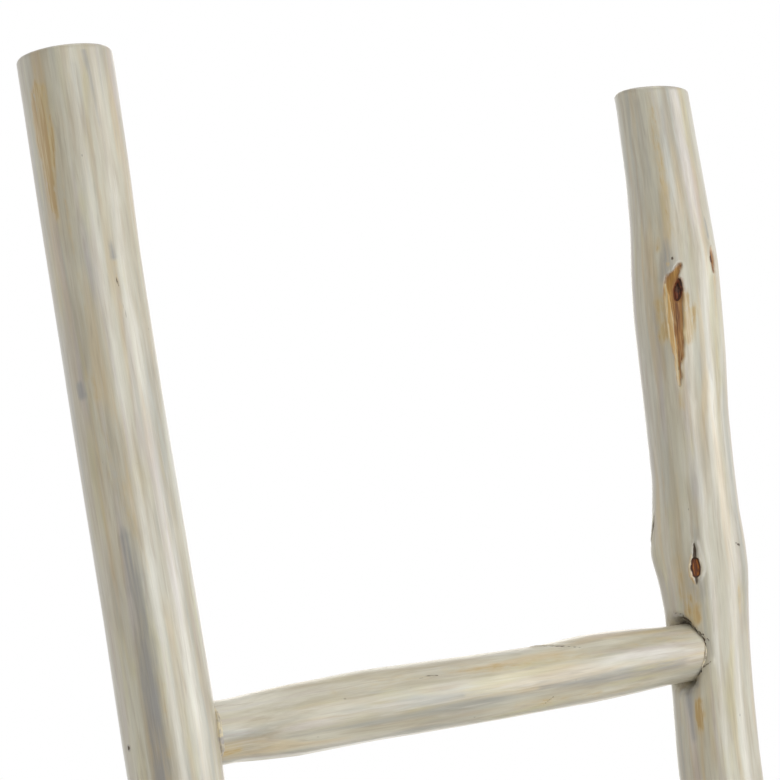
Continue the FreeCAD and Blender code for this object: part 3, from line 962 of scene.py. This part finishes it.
rungs = [Rung(number) for number in range(5)]
poles = [Pole("left_pole", -1, left_marks, left_hidden, 1),
         Pole("right_pole", 1, right_marks, right_hidden, 2)]
pole_wood = washed_teak("washed_teak_poles", tint(208, 203, 183), tint(187, 177, 153), 0.9)
rung_wood = washed_teak("washed_teak_rungs", tint(208, 202, 182), tint(188, 179, 154), 0.4)
filler_finish = wood_filler()
torn_finish = torn_wood()


def settle(piece, node, finish):
    """Give a piece its finish and soft shading, and put it on the ladder's one body."""
    piece.data.materials.clear()
    piece.data.materials.append(finish)
    piece.data.polygons.foreach_set("use_smooth", np.ones(len(piece.data.polygons), bool))
    piece.data.set_sharp_from_angle(angle=CREASE)
    piece.data.update()
    if node:
        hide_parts(node)
    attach(piece, "root")


for pole in poles:
    settle(pole.build(), pole.node, pole_wood)
for rung in rungs:
    settle(rung.build(), rung.node, rung_wood)


# Filler and torn fibres along the joints, made by geometry nodes

def on_pole(pole, number, turns, share):
    """Where a line at a share of the gap round a rung meets the pole's surface."""
    axis = axes[number]
    inwards, shoulder = pole.shoulder(axis)
    low, high = np.full_like(turns, -12.0), np.full_like(turns, 26.0)
    for _ in range(15):
        middle = (low + high) / 2
        places = shoulder + inwards * middle
        points = axis.point(places, turns, pole.wall(number, places, turns, share))
        apart = points[:, :2] - pole.pith(points[:, 2])[:, :2]
        edge = pole.form.radius(points[:, 2], np.arctan2(apart[:, 1], apart[:, 0]))
        inside = np.hypot(apart[:, 0], apart[:, 1]) < edge
        low, high = np.where(inside, middle, low), np.where(inside, high, middle)
    return points


def joint_curves():
    """A closed line round each joint; its radius is the thickness of the filler there."""
    data = bpy.data.curves.new("joint lines", "CURVE")
    data.dimensions = "3D"
    turns = np.radians(np.arange(0, 360, 4.0))
    for pole in poles:
        for number, axis in enumerate(axes):
            whole = 1 - np.clip(pole.torn(number, turns) * 1.5, 0, 1)
            thick = 0.03 + whole * (0.9 + 0.4 * around(turns, 9.0 * number, 7, 5, 77 + number))
            if number == TOP_RUNG and pole.side < 0:
                thick += 1.2 * facing(turns, 180, 1.5, 0.5)
            inwards, _ = pole.shoulder(axis)
            points = on_pole(pole, number, turns, 0.0) + (0.5 * inwards * thick)[:, None] * axis.along
            spline = data.splines.new("POLY")
            spline.points.add(len(points) - 1)
            spline.points.foreach_set("co", np.column_stack([points * MM, np.ones(len(points))]).ravel())
            spline.points.foreach_set("radius", thick)
            spline.use_cyclic_u = True
    return data


def torn_edges():
    """Points along the torn side of each seat, each with the way that its fibres lean."""
    found, leans = [], []
    turns = np.radians(np.arange(0, 360, 2.4))
    for pole in poles:
        for number in range(5):
            upper_only = math.radians(160 if number == TOP_RUNG else 360)
            torn = (pole.torn(number, turns) > 0.3) & (turns < upper_only)
            points = on_pole(pole, number, turns, 1.0)
            outwards = points - pole.pith(points[:, 2])
            outwards /= np.linalg.norm(outwards, axis=1)[:, None]
            along_edge = np.roll(points, -1, axis=0) - np.roll(points, 1, axis=0)
            along_edge /= np.linalg.norm(along_edge, axis=1)[:, None]
            lean = along_edge + 0.1 * outwards
            lean[:, 2] -= 0.5 * np.sign(np.sin(turns))
            found.append((points - 0.1 * outwards)[torn])
            leans.append(lean[torn])
    mesh = new_mesh("torn edges", (np.concatenate(found) * MM).tolist(), [])
    put(mesh, lean=np.concatenate(leans))
    return mesh


class Tree(Nodes):
    """A geometry tree with named inputs."""

    def __init__(self, name, sizes):
        self.tree = bpy.data.node_groups.new(name, "GeometryNodeTree")
        self.tree.interface.new_socket("Geometry", in_out="INPUT", socket_type="NodeSocketGeometry")
        self.tree.interface.new_socket("Geometry", in_out="OUTPUT", socket_type="NodeSocketGeometry")
        for size, value in sizes.items():
            kind = "NodeSocketInt" if isinstance(value, int) else "NodeSocketFloat"
            self.tree.interface.new_socket(size, in_out="INPUT", socket_type=kind).default_value = value
        inputs = self.tree.nodes.new("NodeGroupInput").outputs
        self.given = {socket.name: Wire(self, socket) for socket in inputs}
        self.result = self.tree.nodes.new("NodeGroupOutput").inputs[0]

    def finish(self, geometry, material):
        real = self.node("GeometryNodeRealizeInstances", {"Geometry": geometry})
        shown = self.node("GeometryNodeSetMaterial", {"Geometry": real, "Material": material})
        self.tree.links.new(shown.socket, self.result)

    def run(self, data, name):
        """Apply the tree to a curve or mesh and return the plain mesh piece."""
        piece = linked(name + " source", data)
        piece.modifiers.new(name, "NODES").node_group = self.tree
        made = linked(name, plain_mesh(piece))
        bpy.data.objects.remove(piece)
        return made


def filler_tree():
    t = Tree("filler bead", {"Spacing": 0.0012, "Bead": 0.0008, "Wander": 0.0005, "Seed": 3})
    line = t.node("GeometryNodeResampleCurve",
                  {"Curve": t.given["Geometry"], "Length": t.given["Spacing"]}, mode="LENGTH")
    lumps = t.node("ShaderNodeTexNoise", {
        "Vector": t.node("GeometryNodeInputPosition"), "W": t.given["Seed"], "Scale": 260.0,
        "Detail": 2.0}, "Color", noise_dimensions="4D")
    centred = t.node("ShaderNodeVectorMath", {0: lumps, 1: (0.5, 0.5, 0.5)}, operation="SUBTRACT")
    moved = t.node("ShaderNodeVectorMath", {0: centred, "Scale": t.given["Wander"]}, operation="SCALE")
    line = t.node("GeometryNodeSetPosition", {"Geometry": line, "Offset": moved})
    profile = t.node("GeometryNodeCurvePrimitiveCircle", {"Resolution": 8, "Radius": t.given["Bead"]})
    bead = t.node("GeometryNodeCurveToMesh", {
        "Curve": line, "Profile Curve": profile, "Scale": t.node("GeometryNodeInputRadius")})
    t.finish(bead, filler_finish)
    return t


def splinter_tree():
    t = Tree("splinters", {"Length": 0.0046, "Thickness": 0.0004, "Spread": 0.3, "Shortest": 0.3,
                           "Longest": 1.3, "Seed": 11})
    sliver = t.node("GeometryNodeMeshCone", {
        "Vertices": 4, "Radius Top": 0.00005, "Radius Bottom": t.given["Thickness"],
        "Depth": t.given["Length"]}, fill_type="NGON")
    lean = t.node("GeometryNodeInputNamedAttribute", {"Name": "lean"}, data_type="FLOAT_VECTOR")
    astray = t.node("FunctionNodeRandomValue", {
        "Min": (-1, -1, -1), "Max": (1, 1, 1), "Seed": t.given["Seed"]}, data_type="FLOAT_VECTOR")
    astray = t.node("ShaderNodeVectorMath", {0: astray, "Scale": t.given["Spread"]}, operation="SCALE")
    way = t.node("ShaderNodeVectorMath", {0: lean, 1: astray}, operation="ADD")
    turned = t.node("FunctionNodeAlignRotationToVector", {"Vector": way}, axis="Z")
    size = t.node("FunctionNodeRandomValue", {
        2: t.given["Shortest"], 3: t.given["Longest"], "Seed": t.given["Seed"]}, 1, data_type="FLOAT")
    scattered = t.node("GeometryNodeInstanceOnPoints", {
        "Points": t.given["Geometry"], "Instance": sliver, "Rotation": turned, "Scale": size})
    t.finish(scattered, torn_finish)
    return t


filler = filler_tree().run(joint_curves(), "joint_filler")
settle(filler, None, filler_finish)
splinters = splinter_tree().run(torn_edges(), "torn_fibres")
settle(splinters, None, torn_finish)

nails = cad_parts["rung_nails"]
nails.data.materials.clear()
nails.data.materials.append(old_iron())


# Studio

def place_camera():
    """The photograph's view: from the left of the front, a little below the top rung."""
    eye, focal_pixels, picture_width, sensor = (-1.0783, -1.4582, 1.3892), 2823, 780, 36.0
    yaw, pitch, roll = math.radians(35.84), math.radians(6.90), math.radians(-9.54)
    ahead = Vector((math.sin(yaw) * math.cos(pitch), math.cos(yaw) * math.cos(pitch), math.sin(pitch)))
    right = Vector((math.cos(yaw), -math.sin(yaw), 0))
    up = right.cross(ahead)
    tilted_right = math.cos(roll) * right + math.sin(roll) * up
    tilted_up = -math.sin(roll) * right + math.cos(roll) * up
    data = bpy.data.cameras.new("camera")
    data.sensor_width, data.sensor_fit = sensor, "HORIZONTAL"
    data.lens = focal_pixels / picture_width * sensor
    data.clip_start, data.clip_end = 0.05, 50.0
    camera = linked("camera", data)
    turn = Matrix((tilted_right, tilted_up, -ahead)).transposed().to_4x4()
    camera.matrix_world = Matrix.Translation(Vector(eye)) @ turn
    bpy.context.scene.camera = camera


def softbox(name, place, aimed_height, width, height, power, colour):
    data = bpy.data.lights.new(name, "AREA")
    data.color = colour
    data.shape, data.size, data.size_y, data.energy = "RECTANGLE", width, height, power
    lamp = linked(name, data)
    lamp.location = place
    lamp.rotation_euler = (Vector((0, 0, aimed_height)) - Vector(place)).to_track_quat("-Z", "Y").to_euler()


def studio():
    """Two tall cool softboxes before the ladder, three warmer ones behind and one overhead."""
    cool, warm, white = (0.945, 0.98, 1.03), (1.0, 0.975, 0.9), (1.0, 1.0, 1.0)
    softbox("front key", (-0.98, -3.05, 1.4), 1.3, 0.56, 2.2, 28, cool)
    softbox("side key", (2.02, -2.48, 1.4), 1.3, 1.35, 2.2, 42, cool)
    softbox("left fill", (-2.42, 2.09, 1.55), 1.2, 2.4, 2.8, 12, warm)
    softbox("back fill", (1.75, 2.50, 1.25), 1.2, 1.0, 2.2, 8, warm)
    softbox("high back fill", (1.95, 2.75, 3.3), 0.9, 1.6, 1.2, 11, warm)
    softbox("top", (0.2, -0.3, 3.9), 1.0, 2.0, 2.0, 15, white)
    w = Finish(bpy.data.worlds.new("studio"))
    bpy.context.scene.world = w.owner
    ambient = w.node("ShaderNodeBackground", {"Color": (1.0, 0.985, 0.95, 1), "Strength": 0.31})
    backdrop = w.node("ShaderNodeBackground", {"Color": (1, 1, 1, 1), "Strength": 1.0})
    shown = w.node("ShaderNodeMixShader", {0: w.looked_at(), 1: ambient, 2: backdrop})
    w.node("ShaderNodeOutputWorld", {"Surface": shown})


def lay_floor():
    """A pale floor 40 m wide, a good half white to the eye, that keeps the ladder's shadow."""
    half = 20
    edge = [(-half, -half, 0), (half, -half, 0), (half, half, 0), (-half, half, 0)]
    floor = linked("floor", new_mesh("floor", edge, [(0, 1, 2, 3)]))
    f = Finish(bpy.data.materials.new("floor"))
    floor.data.materials.append(f.owner)
    lit = f.node("ShaderNodeBsdfDiffuse", {"Color": (0.86, 0.86, 0.86, 1)})
    white = f.node("ShaderNodeEmission", {"Color": (1, 1, 1, 1), "Strength": 1.0})
    shown = f.node("ShaderNodeMixShader", {0: f.looked_at() * 0.6, 1: lit, 2: white})
    f.node("ShaderNodeOutputMaterial", {"Surface": shown})


place_camera()
studio()
lay_floor()
bpy.context.scene.view_settings.view_transform = "Standard"
